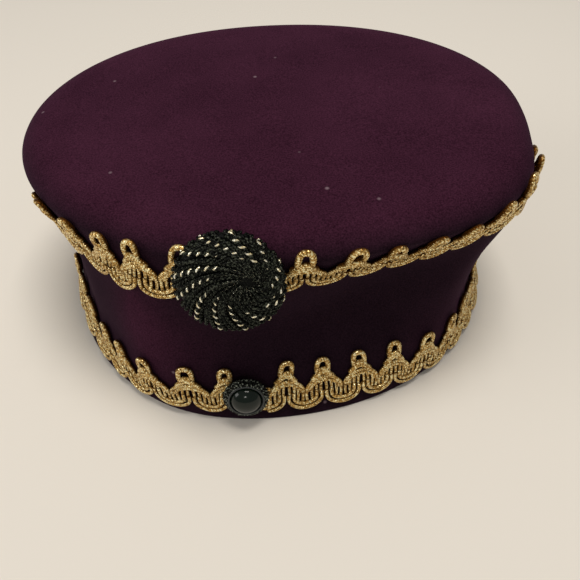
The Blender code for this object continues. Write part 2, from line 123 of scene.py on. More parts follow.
# A superellipse whose half axes follow the parabola, grown by the swells and moved out along its normal
def wallPoint(angle, up, out=0.0, inset=0.0):
    angle, up = np.broadcast_arrays(np.asarray(angle, float), np.asarray(up, float))
    length = throughThree(up, hatForm["rimLength"], hatForm["waistLength"], hatForm["crownLength"])
    width = throughThree(up, hatForm["rimWidth"], hatForm["waistWidth"], hatForm["crownWidth"])
    halfLength, halfWidth = length / 2 - inset, width / 2 - inset
    cosine, sine = np.cos(np.radians(angle)), np.sin(np.radians(angle))
    power = 2 / hatForm["squareness"]
    x = halfLength * np.sign(cosine) * np.abs(cosine) ** power
    y = halfWidth * np.sign(sine) * np.abs(sine) ** power
    y = y * (1 + hatForm["rimEgg"] * np.clip(1 - up, 0, None) * x / halfLength)
    grow = 1 + 2 * swellAt(angle, up) / (halfLength + halfWidth)
    x, y = x * grow, y * grow
    steepness = np.hypot(x / halfLength**2, y / halfWidth**2)
    x, y = x + out * x / halfLength**2 / steepness, y + out * y / halfWidth**2 / steepness
    return np.stack([x, y, hatForm["edgeHeight"] * up + hatForm["lean"] * x * up], -1)


# The crown's top: a quarter turn of edgeRoll from the wall's edge, then in to the middle on a low dome
def topPoint(angle, turnShare, reach, inset=0.0):
    angle, turnShare, reach = np.broadcast_arrays(angle, turnShare, reach)
    quarter = turnShare * math.pi / 2
    points = wallPoint(angle, 1.0, inset=inset + hatForm["edgeRoll"] * (1 - np.cos(quarter)))
    points[..., :2] *= reach[..., None]
    rise = (hatForm["topHeight"] - hatForm["edgeHeight"] - inset) * np.sin(quarter)
    rise = rise + hatForm["domeRise"] * (1 - reach**2)
    points[..., 2] = hatForm["edgeHeight"] + rise + hatForm["lean"] * points[..., 0]
    return points


# The outward and upward directions of the wall, from a small step each way in degrees and in height share
def wallFrame(angle, up):
    angleStep, upStep = 0.25, 0.01
    along = wallPoint(angle + angleStep, up) - wallPoint(angle - angleStep, up)
    upward = wallPoint(angle, up + upStep) - wallPoint(angle, up - upStep)
    normal = np.cross(along, upward)
    normal /= np.linalg.norm(normal, axis=-1, keepdims=True)
    return normal, upward / np.linalg.norm(upward, axis=-1, keepdims=True)


# Places on the hat: rise metres up the wall from the height share middle, and out along the normal. Past the
# edge they go round a circle of the radius trimBend. Gives the outward direction too.
def onWall(angle, middle, rise, out):
    angle, middle, rise, out = np.broadcast_arrays(angle, middle, rise, out)
    upward = wallFrame(angle, middle)[1]
    toEdge = (1 - middle) * hatForm["edgeHeight"] / upward[..., 2]
    up = middle + np.minimum(rise, toEdge) * upward[..., 2] / hatForm["edgeHeight"]
    normal, upward = wallFrame(angle, up)
    radius = hatForm["trimBend"]
    bend = np.clip(rise - toEdge, 0, None)[..., None] / radius
    points = wallPoint(angle, up) + radius * (np.sin(bend) * upward - (1 - np.cos(bend)) * normal)
    facing = np.cos(bend) * normal + np.sin(bend) * upward
    return points + out[..., None] * facing, facing


# Height share of a line at an angle
def lineHeight(line, angle):
    return roundTheOval(line, angle)[..., 0]


# A mesh object from whole arrays of points, faces and corner coordinates
def addMesh(name, points, faceSets, material, uvSets=None):
    mesh = bpy.data.meshes.new(name)
    points = np.asarray(points, float).reshape(-1, 3)
    mesh.vertices.add(len(points))
    mesh.vertices.foreach_set("co", points.ravel())
    corners = np.concatenate([faces.ravel() for faces in faceSets])
    sizes = np.concatenate([np.full(len(faces), faces.shape[1]) for faces in faceSets])
    mesh.loops.add(len(corners))
    mesh.loops.foreach_set("vertex_index", corners)
    mesh.polygons.add(len(sizes))
    mesh.polygons.foreach_set("loop_start", np.concatenate([[0], np.cumsum(sizes)[:-1]]))
    mesh.polygons.foreach_set("use_smooth", np.ones(len(sizes), bool))
    if uvSets is not None:
        layer = mesh.uv_layers.new(name="cord")
        layer.data.foreach_set("uv", np.concatenate([uv.reshape(-1, 2) for uv in uvSets]).ravel())
    mesh.update(calc_edges=True)
    mesh.validate()
    mesh.materials.append(material)
    made = bpy.data.objects.new(name, mesh)
    bpy.context.scene.collection.objects.link(made)
    return made


# The two directions square to each path: sideways, and towards the facing direction
def acrossPath(centres, facing, closed=False):
    ahead = np.roll(centres, -1, axis=1) if closed else np.concatenate([centres[:, 1:], centres[:, -1:]], 1)
    behind = np.roll(centres, 1, axis=1) if closed else np.concatenate([centres[:, :1], centres[:, :-1]], 1)
    tangent = ahead - behind
    tangent /= np.linalg.norm(tangent, axis=-1, keepdims=True) + tiny
    side = np.cross(tangent, facing)
    side /= np.linalg.norm(side, axis=-1, keepdims=True) + tiny
    return side, np.cross(side, tangent)


# The length along each path up to each of its points
def lengthAlong(centres):
    steps = np.linalg.norm(np.diff(centres, axis=1), axis=-1)
    return np.concatenate([np.zeros((len(centres), 1)), np.cumsum(steps, axis=1)], 1)


# Round cords along paths of equal point count: a circle of sides points round each path point, square to the
# path, and a cap point at each end. Corner coordinates are the length along the cord, moved by its seed, and
# the turn round it, which starts at the side and passes the facing direction at a quarter.
def tubes(centres, radius, facing, sides, closed=False, seeds=None):
    count, steps = centres.shape[:2]
    side, above = acrossPath(centres, facing, closed)
    turns = np.arange(sides) * 2 * math.pi / sides
    radius = np.broadcast_to(np.asarray(radius, float), (count, steps))
    ring = side[:, :, None] * np.cos(turns)[:, None] + above[:, :, None] * np.sin(turns)[:, None]
    points = (centres[:, :, None] + ring * radius[:, :, None, None]).reshape(-1, 3)
    along = lengthAlong(centres)
    if seeds is not None:
        along = along + np.asarray(seeds, float)[:, None]
    if closed:
        along = np.concatenate([along, 2 * along[:, -1:] - along[:, -2:-1]], 1)
    base = np.arange(count)[:, None, None] * steps * sides
    row = np.arange(steps if closed else steps - 1)[None, :, None]
    col = np.arange(sides)[None, None, :]
    nextRow = (row + 1) % steps
    nextCol = (col + 1) % sides
    quads = np.stack(np.broadcast_arrays(
        base + row * sides + col, base + row * sides + nextCol,
        base + nextRow * sides + nextCol, base + nextRow * sides + col), -1).reshape(-1, 4)
    low, high, left, right = np.broadcast_arrays(
        along[:, :-1, None], along[:, 1:, None], col / sides, (col + 1) / sides)
    corners = [np.stack(pair, -1) for pair in ((low, left), (low, right), (high, right), (high, left))]
    uv = np.stack(corners, -2).reshape(-1, 4, 2)
    if closed:
        return points, [quads], [uv]
    poles = np.stack([centres[:, 0], centres[:, -1]], 1).reshape(-1, 3)
    firstPole = len(points) + np.arange(count)[:, None] * 2
    startRing = np.arange(count)[:, None] * steps * sides
    endRing = startRing + (steps - 1) * sides
    column = np.arange(sides)[None]
    after = (column + 1) % sides
    startCaps = np.stack(np.broadcast_arrays(startRing + after, startRing + column, firstPole), -1)
    endCaps = np.stack(np.broadcast_arrays(endRing + column, endRing + after, firstPole + 1), -1)
    caps = np.concatenate([startCaps.reshape(-1, 3), endCaps.reshape(-1, 3)])
    capAlong = np.concatenate([np.repeat(along[:, 0], sides), np.repeat(along[:, -1], sides)])
    capUv = np.repeat(np.stack([capAlong, np.zeros_like(capAlong)], -1)[:, None], 3, axis=1)
    return np.concatenate([points, poles]), [quads, caps], [uv, capUv]


# Several pieces' points, faces and corner coordinates joined in one mesh's arrays, each after the last
def joined(parts):
    points, faceSets, uvSets, start = [], [], [], 0
    for partPoints, partFaces, partUvs in parts:
        points.append(partPoints)
        faceSets += [faces + start for faces in partFaces]
        uvSets += partUvs
        start += len(partPoints)
    return np.concatenate(points), faceSets, uvSets


# A new material, its node tree and its Principled shader
def newMaterial(name):
    material = bpy.data.materials.new(name)
    material.use_nodes = True
    return material, material.node_tree, material.node_tree.nodes["Principled BSDF"]


# A node with its settings; a value whose name starts with in_ goes to the socket of that name
def node(tree, kind, **values):
    made = tree.nodes.new(kind)
    for key, value in values.items():
        if key.startswith("in_"):
            made.inputs[key[3:].replace("_", " ")].default_value = value
        else:
            setattr(made, key, value)
    return made


# A shader node group with its named inputs and outputs, and its two end nodes
def newGroup(name, inputs, outputs):
    group = bpy.data.node_groups.new(name, "ShaderNodeTree")
    for socketName, kind, value in inputs:
        made = group.interface.new_socket(name=socketName, in_out="INPUT", socket_type=kind)
        made.default_value = value
    for socketName, kind in outputs:
        group.interface.new_socket(name=socketName, in_out="OUTPUT", socket_type=kind)
    return group, group.nodes.new("NodeGroupInput"), group.nodes.new("NodeGroupOutput")


# The output of a math node worked on numbers or sockets
def worked(tree, operation, *terms):
    made = node(tree, "ShaderNodeMath", operation=operation)
    for socket, term in zip(made.inputs, terms):
        if isinstance(term, (int, float)):
            socket.default_value = term
        else:
            tree.links.new(term, socket)
    return made.outputs[0]


# A value brought from the range low to high into the range least to 1, and held there
def ranged(tree, value, low, high, least=0.0):
    made = node(tree, "ShaderNodeMapRange", in_From_Min=low, in_From_Max=high, in_To_Min=least)
    tree.links.new(value, made.inputs["Value"])
    return made.outputs["Result"]


# Two colours, each a value or a socket, mixed by the factor
def mixed(tree, factor, first, second):
    made = node(tree, "ShaderNodeMix", data_type="RGBA")
    for name, term in (("Factor", factor), ("A", first), ("B", second)):
        if isinstance(term, tuple):
            made.inputs[name].default_value = term
        else:
            tree.links.new(term, made.inputs[name])
    return made.outputs["Result"]


# A texture that reads the piece's Object coordinates
def textured(tree, kind, **values):
    made = node(tree, kind, **values)
    place = node(tree, "ShaderNodeTexCoord")
    tree.links.new(place.outputs["Object"], made.inputs["Vector"])
    return made


# Thread looks for the shared wrap: colour is the thread's own, shade is painted shade between its threads and
# on the cords' flanks, glint is a painted highlight on their crests
goldLook = {
    "colour": (0.76, 0.47, 0.135, 1), "shade": (0.075, 0.025, 0.0012, 1), "glint": (1.0, 0.90, 0.52, 1),
    "metallic": 0.60, "roughness": 0.38, "specular": 0.10,
}
paleGoldLook = {
    "colour": (1.0, 0.95, 0.72, 1), "shade": (0.70, 0.58, 0.30, 1), "glint": (1.0, 0.98, 0.85, 1),
    "metallic": 0.70, "roughness": 0.38, "specular": 0.50,
}
blackLook = {
    "colour": (0.003, 0.0038, 0.0026, 1), "shade": (0.0006, 0.0008, 0.0006, 1),
    "glint": (0.050, 0.056, 0.040, 1), "metallic": 0.0, "roughness": 0.45, "specular": 0.10,
}
# The collar's threads get a brighter painted highlight on the ridges of its ropes
collarLook = {**blackLook, "glint": (0.20, 0.22, 0.18, 1)}
wrapLook = {
    "threadWidth": 0.0009, "slant": 2.0,  # metres along the cord, and threads gained in a turn round it
    "specks": 1300.0, "patches": 260.0,  # noise scales
    "wave": 0.45, "speck": 3.0, "speckFrom": -1.05, "patch": 0.8, "patchFrom": -0.4,  # what each lights
    "litFrom": 0.25, "litTo": 0.90, "least": 0.18, "crest": 0.85,
    "glintFrom": 0.88, "glintTo": 1.02, "glintGloss": -0.25,
    "waveHeight": 0.5, "bump": 0.0002,
}


# Thread wound round a cord, from the cord's length and turn: half a sine wave for each thread paints shade
# between the threads, fine specks paint sparkle and soft patches make it lighter and darker; the sine of the
# turn paints shade on the cord's flanks, and the brightest parts get a painted glint
def makeWrapGroup():
    look = wrapLook
    tree, given, result = newGroup(
        "threadWrap",
        [("Colour", "NodeSocketColor", goldLook["colour"]), ("Shade", "NodeSocketColor", goldLook["shade"]),
         ("Glint Colour", "NodeSocketColor", goldLook["glint"]), ("Roughness", "NodeSocketFloat", 0.5),
         ("Thread Width", "NodeSocketFloat", look["threadWidth"]),
         ("Slant", "NodeSocketFloat", look["slant"])],
        [("Colour", "NodeSocketColor"), ("Roughness", "NodeSocketFloat"), ("Height", "NodeSocketFloat")])
    link = tree.links.new
    uv = node(tree, "ShaderNodeUVMap", uv_map="cord")
    parts = node(tree, "ShaderNodeSeparateXYZ")
    link(uv.outputs[0], parts.inputs[0])
    along, turn = parts.outputs[0], parts.outputs[1]
    threads = worked(tree, "DIVIDE", along, given.outputs["Thread Width"])
    slanted = worked(tree, "MULTIPLY_ADD", turn, given.outputs["Slant"], threads)
    wave = worked(tree, "SINE", worked(tree, "MULTIPLY", worked(tree, "FRACT", slanted), math.pi))
    speck = textured(tree, "ShaderNodeTexNoise", in_Scale=look["specks"], in_Detail=1.0).outputs["Fac"]
    patch = textured(tree, "ShaderNodeTexNoise", in_Scale=look["patches"], in_Detail=2.0).outputs["Fac"]
    # Painted light and shade over the thread: the specks, the wave of each thread and the soft patches
    lit = worked(tree, "MULTIPLY_ADD", speck, look["speck"], look["speckFrom"])
    lit = worked(tree, "MULTIPLY_ADD", wave, look["wave"], lit)
    lit = worked(tree, "ADD", lit, worked(tree, "MULTIPLY_ADD", patch, look["patch"], look["patchFrom"]))
    # Painted shade: the sine of the turn darkens the cord's flanks towards the shade colour
    outward = worked(tree, "SINE", worked(tree, "MULTIPLY", turn, 2 * math.pi))
    crest = ranged(tree, outward, 0.0, look["crest"])
    shown = worked(tree, "MULTIPLY", ranged(tree, lit, look["litFrom"], look["litTo"], look["least"]), crest)
    colour = mixed(tree, shown, given.outputs["Shade"], given.outputs["Colour"])
    # Painted highlight: the brightest parts on the crest go to the glint colour
    bright = ranged(tree, lit, look["glintFrom"], look["glintTo"])
    glint = worked(tree, "MULTIPLY", bright, crest)
    link(mixed(tree, glint, colour, given.outputs["Glint Colour"]), result.inputs["Colour"])
    rough = worked(tree, "MULTIPLY_ADD", bright, look["glintGloss"], given.outputs["Roughness"])
    link(rough, result.inputs["Roughness"])
    link(worked(tree, "MULTIPLY_ADD", wave, look["waveHeight"], speck), result.inputs["Height"])
    return tree


wrapGroup = makeWrapGroup()


# The shared wrap in one thread's colours, with its height as a bump
def threadMaterial(name, look):
    material, tree, shader = newMaterial(name)
    wrap = node(tree, "ShaderNodeGroup", node_tree=wrapGroup)
    wrap.inputs["Colour"].default_value = look["colour"]
    wrap.inputs["Shade"].default_value = look["shade"]
    wrap.inputs["Glint Colour"].default_value = look["glint"]
    wrap.inputs["Roughness"].default_value = look["roughness"]
    bump = node(tree, "ShaderNodeBump", in_Strength=1.0, in_Distance=wrapLook["bump"])
    tree.links.new(wrap.outputs["Height"], bump.inputs["Height"])
    tree.links.new(wrap.outputs["Colour"], shader.inputs["Base Color"])
    tree.links.new(wrap.outputs["Roughness"], shader.inputs["Roughness"])
    tree.links.new(bump.outputs["Normal"], shader.inputs["Normal"])
    shader.inputs["Metallic"].default_value = look["metallic"]
    shader.inputs["Specular IOR Level"].default_value = look["specular"]
    return material


stoneLook = {
    "stone": (0.0035, 0.0080, 0.0050, 1), "roughness": 0.13, "specular": 0.32,
    "clouds": 160.0, "cloudLight": 0.8, "cloudLeast": 0.6,
    "ring": (0.022, 0.026, 0.026, 1), "grain": 900.0, "grainRough": 0.3, "ringRough": 0.2,
}


# A glassy stone whose brightness follows faint clouds
def stoneMaterial():
    look = stoneLook
    material, tree, shader = newMaterial("darkStone")
    cloud = textured(tree, "ShaderNodeTexNoise", in_Scale=look["clouds"], in_Detail=2.0).outputs["Fac"]
    shade = node(tree, "ShaderNodeHueSaturation", in_Color=look["stone"])
    light = worked(tree, "MULTIPLY_ADD", cloud, look["cloudLight"], look["cloudLeast"])
    tree.links.new(light, shade.inputs["Value"])
    tree.links.new(shade.outputs["Color"], shader.inputs["Base Color"])
    shader.inputs["Roughness"].default_value = look["roughness"]
    shader.inputs["Specular IOR Level"].default_value = look["specular"]
    return material


# A dark ring whose roughness follows a fine grain
def ringMaterial():
    look = stoneLook
    material, tree, shader = newMaterial("darkRing")
    grain = textured(tree, "ShaderNodeTexNoise", in_Scale=look["grain"], in_Detail=2.0).outputs["Fac"]
    rough = worked(tree, "MULTIPLY_ADD", grain, look["grainRough"], look["ringRough"])
    tree.links.new(rough, shader.inputs["Roughness"])
    shader.inputs["Base Color"].default_value = look["ring"]
    return material


feltLook = {
    # The top's colours are the felt painted lit, the wall's are the same felt painted in shade; the nap's
    # speckle and lint are its own
    "top": (0.053, 0.0140, 0.031, 1), "topDeep": (0.014, 0.0026, 0.0075, 1),
    "wall": (0.0200, 0.0088, 0.0155, 1), "wallDeep": (0.005, 0.0022, 0.0042, 1),
    "rollLit": 1.15, "rollDark": 0.05,  # how fast the roll turns from the wall's colour to the top's
    "fibre": 0.0006, "clouds": 28.0, "cloudRough": 0.6, "fineShare": 1.8, "cloudShare": 0.7,
    "darkest": 0.80, "lightest": 1.65,
    "lint": (0.16, 0.11, 0.13, 1), "lintScale": 110.0, "lintEdge": 0.11, "lintCore": 0.04, "lintChance": 0.16,
    "bump": 0.0002, "bumpStrength": 0.5, "roughness": 0.95, "specular": 0.04,
    "sheen": (0.50, 0.20, 0.42, 1), "sheenWeight": 0.08, "sheenRoughness": 0.5,
}


# Napped felt: a fine speckle plus soft clouds mixes its two colours, and a few cells of a Voronoi carry lint
def makeNapGroup():
    look = feltLook
    tree, given, result = newGroup(
        "feltNap",
        [("Colour", "NodeSocketColor", look["top"]), ("Deep", "NodeSocketColor", look["topDeep"]),
         ("Lint", "NodeSocketColor", look["lint"]), ("Fibre Size", "NodeSocketFloat", look["fibre"])],
        [("Colour", "NodeSocketColor"), ("Height", "NodeSocketFloat")])
    link = tree.links.new
    fine = textured(tree, "ShaderNodeTexNoise", in_Detail=3.0)
    link(worked(tree, "DIVIDE", 1.0, given.outputs["Fibre Size"]), fine.inputs["Scale"])
    cloud = textured(tree, "ShaderNodeTexNoise", in_Scale=look["clouds"], in_Detail=3.0,
                     in_Roughness=look["cloudRough"])
    soft = worked(tree, "MULTIPLY", cloud.outputs["Fac"], look["cloudShare"])
    nap = worked(tree, "MULTIPLY_ADD", fine.outputs["Fac"], look["fineShare"], soft)
    light = ranged(tree, nap, look["darkest"], look["lightest"])
    colour = mixed(tree, light, given.outputs["Deep"], given.outputs["Colour"])
    speck = textured(tree, "ShaderNodeTexVoronoi", in_Scale=look["lintScale"])
    near = ranged(tree, speck.outputs["Distance"], look["lintEdge"], look["lintCore"])
    chance = node(tree, "ShaderNodeSeparateColor")
    link(speck.outputs["Color"], chance.inputs[0])
    chosen = worked(tree, "LESS_THAN", chance.outputs[0], look["lintChance"])
    dusted = mixed(tree, worked(tree, "MULTIPLY", near, chosen), colour, given.outputs["Lint"])
    link(dusted, result.inputs["Colour"])
    link(fine.outputs["Fac"], result.inputs["Height"])
    return tree


# Painted light on the wall: soft patches painted in the top's lit colour: angle, its spread, height share,
# its spread, amount
paintedLitPatches = np.array([
    (-119.0, 7.5, 0.50, 0.36, 1.00), (-109.0, 9.0, 0.42, 0.30, 0.35), (-120.2, 1.3, 0.62, 0.10, 0.80),
    (-34.0, 13.0, 0.32, 0.26, 0.42), (-52.0, 9.0, 0.24, 0.20, 0.20),
])


# A sum of soft round patches of painted light: each amount times a bell curve of the angle and of the height
def paintedPatchesAt(angle, up):
    spread = turned(angle[..., None] - paintedLitPatches[:, 0]) / paintedLitPatches[:, 1]
    height = (up[..., None] - paintedLitPatches[:, 2]) / paintedLitPatches[:, 3]
    return (paintedLitPatches[:, 4] * np.exp(-spread**2 - height**2)).sum(-1)


# The wall's felt colours painted in shade and the top's painted lit, mixed by the mesh's own share of painted
# light
def feltMaterial():
    look = feltLook
    material, tree, shader = newMaterial("purpleFelt")
    link = tree.links.new
    nap = node(tree, "ShaderNodeGroup", node_tree=makeNapGroup())
    # The mesh's share of painted light: 1 where the felt is painted lit, 0 where it is painted in shade
    lit = node(tree, "ShaderNodeAttribute", attribute_name="paintedLightShare").outputs["Fac"]
    link(mixed(tree, lit, look["wall"], look["top"]), nap.inputs["Colour"])
    link(mixed(tree, lit, look["wallDeep"], look["topDeep"]), nap.inputs["Deep"])
    bump = node(tree, "ShaderNodeBump", in_Strength=look["bumpStrength"], in_Distance=look["bump"])
    link(nap.outputs["Height"], bump.inputs["Height"])
    link(nap.outputs["Colour"], shader.inputs["Base Color"])
    link(bump.outputs["Normal"], shader.inputs["Normal"])
    shader.inputs["Roughness"].default_value = look["roughness"]
    shader.inputs["Specular IOR Level"].default_value = look["specular"]
    shader.inputs["Sheen Weight"].default_value = look["sheenWeight"]
    shader.inputs["Sheen Roughness"].default_value = look["sheenRoughness"]
    shader.inputs["Sheen Tint"].default_value = look["sheen"]
    return material


crownGrid = {
    "columns": 420, "wallRows": 70, "rollRows": 16, "topRows": 30, "innerRows": 24, "rimRows": 5,
    "lastReach": 0.004,  # the top's last ring, as a share of the way out from its middle
}


# Rings from the rim up the wall, round the roll and over the top, on the face inset metres in
def shellRings(angles, wallRows, inset):
    ups = np.linspace(hatForm["rimStart"], 1.0, wallRows)[:, None]
    wall = wallPoint(angles[None], ups, inset=inset)
    turns = np.linspace(0, 1, crownGrid["rollRows"] + 1)[1:, None]
    roll = topPoint(angles[None], turns, 1.0, inset)
    reach = np.linspace(1, crownGrid["lastReach"], crownGrid["topRows"] + 1)[1:, None]
    top = topPoint(angles[None], 1.0, reach, inset)
    return np.concatenate([wall, roll, top])


# Quads between neighbouring rings, each ring closed
def closedRings(rows, columns):
    start = np.arange(rows - 1)[:, None] * columns
    col = np.arange(columns)[None]
    after = (col + 1) % columns
    corners = start + col, start + after, start + columns + after, start + columns + col
    return np.stack(corners, -1).reshape(-1, 4)


# Triangles from the first and the last ring to a pole each, the poles' numbers following the rings'
def poleCaps(rows, columns):
    col = np.arange(columns)
    after = (col + 1) % columns
    last, total = (rows - 1) * columns, rows * columns
    low = np.stack([after, col, np.full(columns, total)], -1)
    high = np.stack([last + col, last + after, np.full(columns, total + 1)], -1)
    return np.concatenate([low, high])


# The share of painted light on the outer rings: the painted lit patches on the wall, the sine of the roll's
# turn, then the whole top
def litShares(angles):
    ups = np.linspace(hatForm["rimStart"], 1.0, crownGrid["wallRows"])[:, None]
    wall = paintedPatchesAt(*np.broadcast_arrays(angles[None], ups))
    over = np.sin(np.linspace(0, 1, crownGrid["rollRows"] + 1)[1:] * math.pi / 2)
    roll = np.clip(over * feltLook["rollLit"] - feltLook["rollDark"], 0, 1)[:, None]
    roll = np.broadcast_to(roll, (crownGrid["rollRows"], len(angles)))
    return np.concatenate([wall, roll, np.ones((crownGrid["topRows"], len(angles)))])


# The felt shell: the inner face's rings, half a circle under the rim, the outer face's rings, and two poles
def makeCrown(material):
    columns = crownGrid["columns"]
    angles = np.arange(columns) * 360.0 / columns
    outer = shellRings(angles, crownGrid["wallRows"], 0.0)
    inner = shellRings(angles, crownGrid["innerRows"], hatForm["felt"])
    half = hatForm["felt"] / 2
    around = np.linspace(0, math.pi, crownGrid["rimRows"] + 2)[1:-1, None]
    under = hatForm["rimStart"] * (1 - np.sin(around))
    rim = wallPoint(angles[None], under, inset=half - half * np.cos(around))
    rings = np.concatenate([inner[::-1], rim[::-1], outer])
    faces = [closedRings(len(rings), columns), poleCaps(len(rings), columns)]
    poles = np.stack([inner[-1].mean(0), outer[-1].mean(0)])
    crown = addMesh("crownFelt", np.concatenate([rings.reshape(-1, 3), poles]), faces, material)
    # The inner face and the rim carry the wall's painted shade; the outer face gets its share of painted
    # light
    unlit = np.zeros((len(inner) + len(rim)) * columns)
    share = crown.data.attributes.new("paintedLightShare", "FLOAT", "POINT")
    share.data.foreach_set("value", np.concatenate([unlit, litShares(angles).ravel(), [0.0, 1.0]]))
    return crown


# One repeat of the braid: heights from its middle line, and the tables' lengths in millimetres
braidForm = {
    "lift": 0.45 * mm, "bottom": -7.35 * mm, "crest": 6.85 * mm, "loopTop": 16.0 * mm,
    "cord": 0.90 * mm, "rib": 0.75 * mm, "mound": 1.15 * mm, "loop": 1.22 * mm,  # radii
    # U cords: in from the repeat's side, up from the bottom, the ends' height and straight tail, out in radii
    "cups": ((0.95, 0.0, -2.2, 2.0, 1.15), (3.1, 1.95, -2.0, 2.5, 1.0)),
    # Arches: in from the side, down from the crest, the ends' height and straight tail, out in radii
    "arches": ((0.8, 0.0, 2.2, 1.8, 1.25), (1.9, 1.8, 1.6, 1.0, 1.05)),
    # Ribs: their number, the height of the low end, the high end below the crest, what both lose at the sides
    "ribs": 8, "ribLow": -3.2 * mm, "ribHigh": 2.4 * mm, "lowLoss": 1.4 * mm, "highLoss": 3.4 * mm,
    "ribBow": 0.25 * mm,
    # Mounds: width, foot and top above the crest, out
    "mounds": ((8.6, -0.9, 2.8, 0.7), (5.4, 0.7, 4.6, 0.9)), "moundAside": -0.4 * mm, "moundSwell": 0.8 * mm,
    # Loop: width, foot above the crest, place, out at the foot, more at the top, and how nearly it closes
    "loopWide": 4.6 * mm, "loopFoot": 1.2 * mm, "loopAside": -0.7 * mm, "loopOut": 0.75 * mm,
    "loopForward": 0.7 * mm, "loopTurn": 0.90,
}
# How uneven the work is: standard deviations, the cords' share of raised, the range of the threads' starts
braidScatter = {
    "aside": 0.22 * mm, "raised": 0.20 * mm, "leaning": 0.07, "taller": 0.045, "ribAside": 0.10 * mm,
    "thick": 0.03, "raisedCord": 0.3, "seed": 0.05,
}
# How tall the upper braid's loops stand at angles round the oval: pressed down over both ends
loopShares = np.array([
    (-180, 0.60), (-162, 0.60), (-145, 0.90), (-120, 1.00), (-86, 0.98), (-68, 0.86), (-45, 0.90),
    (-24, 0.80), (-10, 0.45), (15, 0.45), (60, 0.80), (120, 0.95),
])
# How far each braid is stretched along at angles round the oval, in shares of a repeat
upperStretch = np.array([
    (-170, 0.00), (-135, -0.14), (-125, 0.00), (-116, -0.08), (-107, 0.10), (-86, 0.00), (-70, 0.09),
    (-60, 0.00), (-46, -0.15), (-30, 0.00), (60, 0.00),
])
lowerStretch = np.array([
    (-172, 0.00), (-155, 0.20), (-140, 0.22), (-128, -0.05), (-119, -0.04), (-110, 0.14), (-90, 0.00),
    (-72, 0.10), (-58, 0.05), (-45, 0.12), (-34, 0.02), (-24, -0.15), (0, 0.00), (90, 0.00),
])
# Each braid's line, stretch, repeat, and its join: the angle, and its length in repeats
upperForm = {
    "line": upperLine, "stretch": upperStretch, "pitch": 15.3 * mm, "joinAngle": -96.2, "joinShare": 1.94,
    "pressed": True,
}
lowerForm = {
    "line": lowerLine, "stretch": lowerStretch, "pitch": 15.8 * mm, "joinAngle": -95.5, "joinShare": 0.69,
    "pressed": False,
}


# Distances round the wall along a braid's line from its join, and the middles of the repeats that fit
def braidPath(form):
    angles = form["joinAngle"] + np.linspace(0.0, 360.0, 1441)
    ring = wallPoint(angles, lineHeight(form["line"], angles), out=braidForm["lift"])
    distances = np.concatenate([[0.0], np.cumsum(np.linalg.norm(np.diff(ring, axis=0), axis=1))])
    count = round(distances[-1] / form["pitch"] - form["joinShare"])
    pitch = distances[-1] / (count + form["joinShare"])
    middles = pitch * (form["joinShare"] / 2 + 0.5 + np.arange(count))
    return {**form, "pitch": pitch, "angles": angles, "distances": distances, "middles": middles}


# A place on the braid: the distance, moved by the stretch there, gives the angle, and the line the height
def placeOnBraid(path, distance, rise, out):
    around = path["distances"][-1]
    angle = np.interp(distance % around, path["distances"], path["angles"])
    distance = distance + path["pitch"] * lineHeight(path["stretch"], angle)
    angle = np.interp(distance % around, path["distances"], path["angles"])
    return onWall(angle, lineHeight(path["line"], angle), rise, out + braidForm["lift"])


crossing = np.linspace(-1, 1, 23)  # steps across a cup, an arch or a mound


# A line with a straight tail put on both ends
def withTails(across, rise, tail, out):
    across = np.concatenate([across[:1], across, across[-1:]])
    rise = np.concatenate([rise[:1] + tail, rise, rise[-1:] + tail])
    return across, rise, np.full(len(rise), out * braidForm["cord"])


# A U from notch to notch: half an ellipse that hangs from its two ends, with straight tails up
def cupLine(half, inward, above, end, tail, out):
    bottom, end = braidForm["bottom"] + above * mm, end * mm
    across = half + (half - inward * mm) * np.sin(crossing * math.pi / 2)
    rise = end + (bottom - end) * np.cos(crossing * math.pi / 2) ** 0.9
    return withTails(across, rise, tail * mm, out)


# An arch over the notch: a flat-topped curve of |crossing| to the power 2.1, with straight tails down
def archLine(half, inward, below, end, tail, out):
    crest, end = braidForm["crest"] - below * mm, end * mm
    across = (half - inward * mm) * crossing
    rise = end + (crest - end) * (1 - np.abs(crossing) ** 2.1) ** 0.85
    return withTails(across, rise, -tail * mm, out)


# A rib from the inner U up to the inner arch: a straight line with half a sine wave of bow to the side
def ribLine(half, number):
    form = braidForm
    across = half * 2 * (number + 0.5) / form["ribs"] - half
    share = abs(across) / half
    low = form["ribLow"] - form["lowLoss"] * share
    high = form["crest"] - form["ribHigh"] - form["highLoss"] * share**2
    bow = np.sin(np.linspace(0, math.pi, 7))
    rise = np.linspace(low, high, 7)
    return across + form["ribBow"] * bow * np.sign(across), rise, form["rib"] * (0.75 + 0.2 * bow)


# A mound: a short thick arch on the crest that swells out at its middle, and that the loop stands behind
def moundLine(wide, foot, top, out):
    across = braidForm["moundAside"] + wide * mm / 2 * crossing
    rise = braidForm["crest"] + foot * mm + (top - foot) * mm * (1 - np.abs(crossing) ** 2.2)
    return across, rise, out * mm + braidForm["moundSwell"] * (1 - np.abs(crossing) ** 3)


# The loop: nearly a whole turn of a rounded box, its foot behind the mound and its top further out
def loopLine():
    form = braidForm
    angle = np.linspace(-form["loopTurn"], form["loopTurn"], 27) * math.pi
    top, foot = form["loopTop"], form["crest"] + form["loopFoot"]
    bow = np.sign(np.cos(angle)) * np.abs(np.cos(angle)) ** 0.80
    across = form["loopAside"] + form["loopWide"] / 2 * np.sign(angle) * np.abs(np.sin(angle)) ** 0.75
    rise = (top + foot) / 2 + (top - foot) / 2 * bow
    return across, rise, form["loopOut"] + form["loopForward"] * (rise - foot) / (top - foot)


